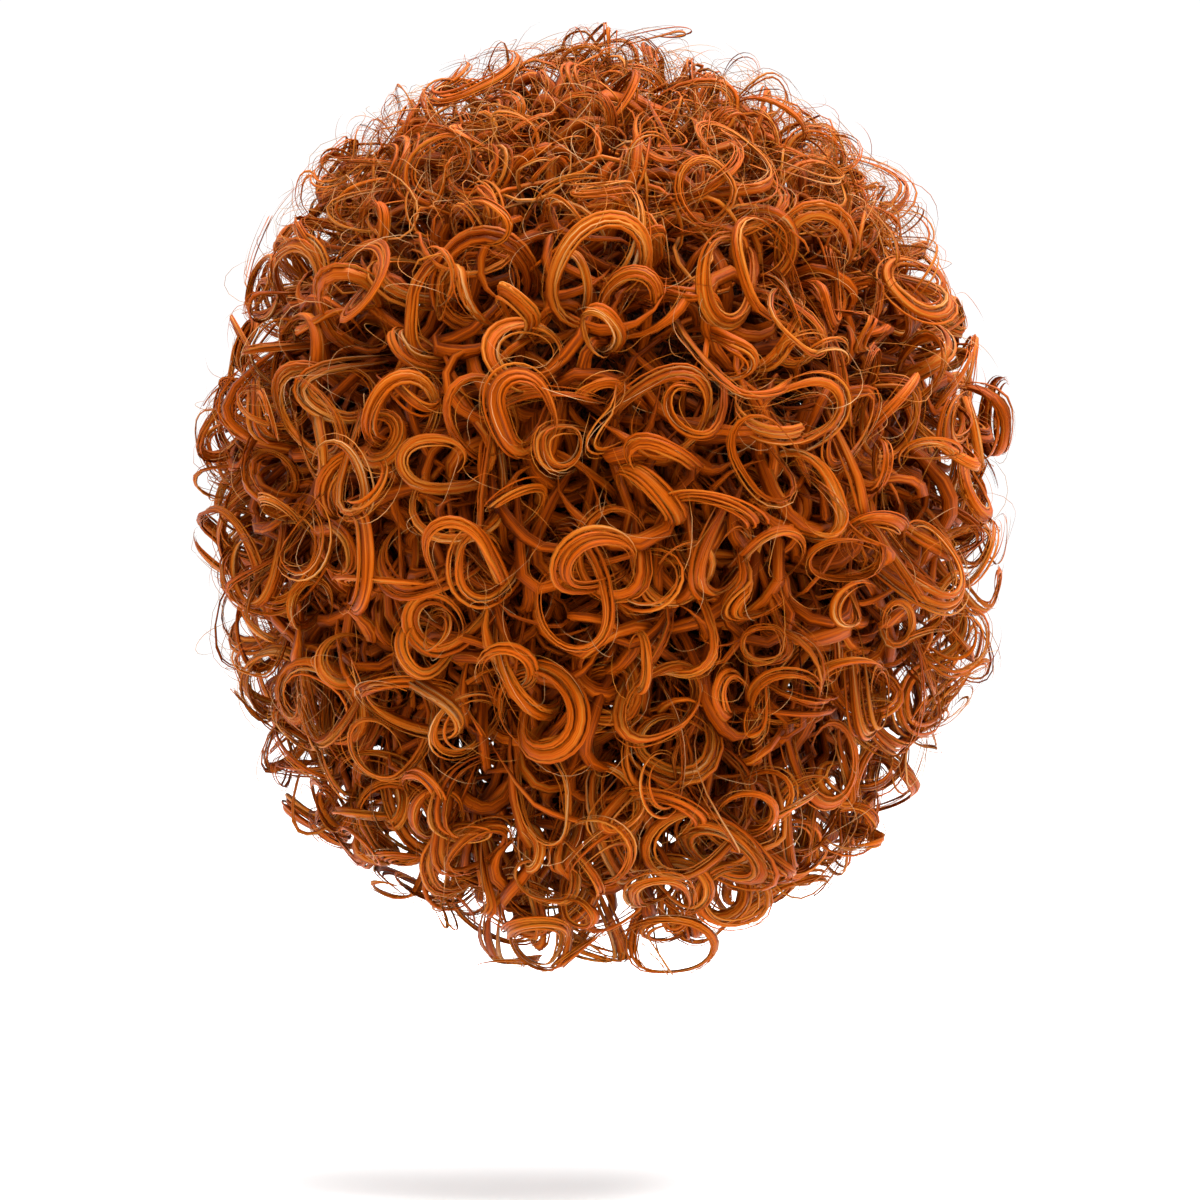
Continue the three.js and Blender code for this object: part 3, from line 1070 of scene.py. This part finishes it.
# %% Draw a dome to the hairline
# Angle from the face, then the angle from the top at which the cap ends there, in degrees.
CAP_EDGE = np.array([(0, 62), (50, 84), (75, 112), (95, 98), (122, 118), (180, 133)], dtype=float)
CAP_RINGS = 32
CAP_SEGMENTS = 96
RIM_DEG = 90.0


def cap_edge(azimuth):
    """The angle from the top at which the cap ends, eased between the places of CAP_EDGE."""
    turn = from_face(azimuth)
    row = np.clip(np.searchsorted(CAP_EDGE[:, 0], turn, side="right") - 1, 0, len(CAP_EDGE) - 2)
    share = ease((turn - CAP_EDGE[row, 0]) / (CAP_EDGE[row + 1, 0] - CAP_EDGE[row, 0]))
    return CAP_EDGE[row, 1] * (1.0 - share) + CAP_EDGE[row + 1, 1] * share


bpy.ops.object.select_all(action="DESELECT")
bpy.ops.mesh.primitive_uv_sphere_add(segments=CAP_SEGMENTS, ring_count=2 * CAP_RINGS, radius=1.0)
cap = bpy.context.object
cap.name = "cap_net_shell"
bpy.ops.object.mode_set(mode="EDIT")
bpy.ops.mesh.select_all(action="SELECT")
bpy.ops.mesh.bisect(plane_co=(0, 0, 0), plane_no=(0, 0, 1), clear_inner=True)
bpy.ops.object.mode_set(mode="OBJECT")

dome = np.zeros(len(cap.data.vertices) * 3)
cap.data.vertices.foreach_get("co", dome)
dome = dome.reshape(-1, 3)
azimuth = np.degrees(np.arctan2(dome[:, 0], -dome[:, 1]))
share = np.degrees(np.arccos(np.clip(dome[:, 2], -1.0, 1.0))) / RIM_DEG
fitted = HOLLOW_CENTRE + HOLLOW_RADII * towards(azimuth, share * cap_edge(azimuth))
cap.data.vertices.foreach_set("co", (fitted * MM).ravel())
cap.data.update()
print("Faces of the dome:", len(cap.data.polygons))

# %% [markdown]
# The last ring of faces becomes the binding tape. Solidify gives the cloth its thickness, outwards from the
# hollow, and the tape is then extruded a little along its normals, so that its edge stands proud of the net.

# %% Thicken the cloth and bind its edge
NET_SLOT = 0
TAPE_SLOT = 1
TAPE_PROUD = 0.4 * MM
LAST_RING = 1.0 - 1.5 / CAP_RINGS
SHARP_DEG = 50.0

cap.data.materials.append(net)
cap.data.materials.append(tape)
for face in cap.data.polygons:
    on_edge = min(share[corner] for corner in face.vertices) > LAST_RING
    face.material_index = TAPE_SLOT if on_edge else NET_SLOT

cloth = cap.modifiers.new("cloth", "SOLIDIFY")
cloth.thickness = CAP_WALL * MM
cloth.offset = 1.0
bpy.ops.object.modifier_apply(modifier=cloth.name)
bpy.ops.object.mode_set(mode="EDIT")
bpy.ops.mesh.select_all(action="DESELECT")
cap.active_material_index = TAPE_SLOT
bpy.ops.object.material_slot_select()
bpy.ops.mesh.extrude_region_shrink_fatten(TRANSFORM_OT_shrink_fatten={"value": TAPE_PROUD})
bpy.ops.object.mode_set(mode="OBJECT")
bpy.ops.object.shade_smooth_by_angle(angle=math.radians(SHARP_DEG))
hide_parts("cap")
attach(cap, "root")
print("Cap faces:", len(cap.data.polygons))

# %% [markdown]
# ## The studio
# A pale floor and a white surround with a broad lamp overhead give the soft light of a product picture. A
# small lamp would draw hard shadows into every curl, so this one is almost two metres wide.

# %% Set the floor and the light
FLOOR_HEIGHT = -0.38
FLOOR_SIZE = 12.0
SURROUND_STRENGTH = 1.04

bpy.ops.object.select_all(action="DESELECT")
bpy.ops.mesh.primitive_plane_add(size=FLOOR_SIZE, location=(0.0, 0.0, FLOOR_HEIGHT))
floor = bpy.context.object
floor.name = "floor"
# Matt white paint, which takes a soft shadow and shows no reflection.
paint, paint_shader = new_material("white_studio_floor")
set_node(paint, paint_shader, {"Base Color": linear("#fefefe"), "Roughness": 0.9})
floor.data.materials.append(paint)

world = bpy.data.worlds.new("white_surround")
bpy.context.scene.world = world
world.use_nodes = True
surround = world.node_tree.nodes["Background"]
surround.inputs["Color"].default_value = linear("#ffffff")
surround.inputs["Strength"].default_value = SURROUND_STRENGTH

LAMP_PLACE = Vector((-0.4, 0.05, 1.7))
LAMP_TARGET = Vector((0.0, 0.0, -0.1))
LAMP_SIZE = 1.8
LAMP_WATTS = 124.0
panel = bpy.data.lights.new("overhead", "AREA")
panel.size = LAMP_SIZE
panel.energy = LAMP_WATTS
lamp = bpy.data.objects.new("overhead", panel)
lamp.location = LAMP_PLACE
lamp.rotation_euler = (LAMP_TARGET - LAMP_PLACE).to_track_quat("-Z", "Y").to_euler()
bpy.context.collection.objects.link(lamp)
print("Lamp:", lamp.name, "with", panel.energy, "watts")

# %% [markdown]
# The camera looks at the back of the wig, almost level, from two metres away. That is far enough that the
# near curls don't look much larger than the rest. Standard view keeps the colours as they were mixed.

# %% Set the camera
PICTURE_WIDTH = 0.456
PICTURE_CENTRE = Vector((0.0, 0.014, -0.1615))
CAMERA_DISTANCE = 2.0
CAMERA_HEIGHT_DEG = 2.0
lens = bpy.data.cameras.new("camera")
lens.angle = 2 * math.atan(PICTURE_WIDTH / 2 / CAMERA_DISTANCE)
camera = bpy.data.objects.new("camera", lens)
height = math.radians(CAMERA_HEIGHT_DEG)
camera.location = PICTURE_CENTRE + CAMERA_DISTANCE * Vector((0.0, math.cos(height), math.sin(height)))
camera.rotation_euler = (PICTURE_CENTRE - camera.location).to_track_quat("-Z", "Y").to_euler()
bpy.context.collection.objects.link(camera)
bpy.context.scene.camera = camera
bpy.context.scene.view_settings.view_transform = "Standard"
print("Angle of view in degrees:", round(math.degrees(lens.angle), 1))
